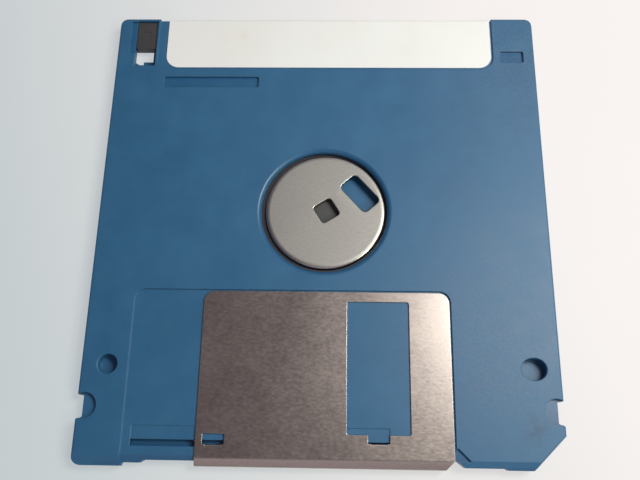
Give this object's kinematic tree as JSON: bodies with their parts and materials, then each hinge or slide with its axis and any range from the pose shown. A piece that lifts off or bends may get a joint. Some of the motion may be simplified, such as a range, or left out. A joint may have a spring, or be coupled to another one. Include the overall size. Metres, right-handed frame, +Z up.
{
  "type": "3.5-inch floppy disk",
  "caption": "Flat blue plastic disk case with a steel hub, a sprung folded metal shutter, a write protect slider and a wrap-round blank label.",
  "frame": {"origin": "centre of the label side face, which lies on the table", "axes": "+X to the right seen from the hub side, +Y towards the label end, +Z up out of the hub side; the shutter is at -Y"},
  "size_m": [0.09, 0.094, 0.0033],
  "materials": {
    "blue_plastic": "satin moulded shell, fine grain",
    "steel_sheet": "satin rolled sheet, fine grain along the shutter",
    "hub_steel": "pressed sheet, finely turned, light warm grey",
    "spring_steel": "drawn wire",
    "black_plastic": "satin, near black",
    "magnetic_film": "smooth coated film, dark brown",
    "liner_fleece": "non-woven fleece, off-white",
    "grey_plastic": "low-friction pad, dark grey",
    "clear_leaf": "thin cloudy film leaf",
    "adhesive": "thin ring of set adhesive",
    "label_paper": "off-white coated paper"
  },
  "bodies": {
    "case": {"hub_side_shell": "blue_plastic", "label_side_shell": "blue_plastic", "hub_side_liner": "liner_fleece", "label_side_liner": "liner_fleece", "liner_lifter": "clear_leaf", "centre_wear_pad": "grey_plastic", "label": "label_paper", "shutter_spring": "spring_steel"},
    "disc": {"hub": "hub_steel", "hub_adhesive_ring": "adhesive", "magnetic_disc": "magnetic_film"},
    "shutter": {"shutter": "steel_sheet"},
    "write_protect_slider": {"write_protect_slider": "black_plastic"}
  },
  "joints": [
    {"name": "disc_spin", "type": "hinge", "parent": "case", "child": "disc", "pos_m": [0.00075, 0.0023, 0.0025], "axis": [0, 0, 1], "continuous": true},
    {"name": "shutter_slide", "type": "slide", "parent": "case", "child": "shutter", "axis": [-1, 0, 0], "range_m": [0, 0.0133], "stiffness_N_per_m": 40, "springref_m": -0.005, "deforming": ["shutter_spring"]},
    {"name": "write_protect_slide", "type": "slide", "parent": "case", "child": "write_protect_slider", "axis": [0, -1, 0], "range_m": [0, 0.0043]}
  ]
}
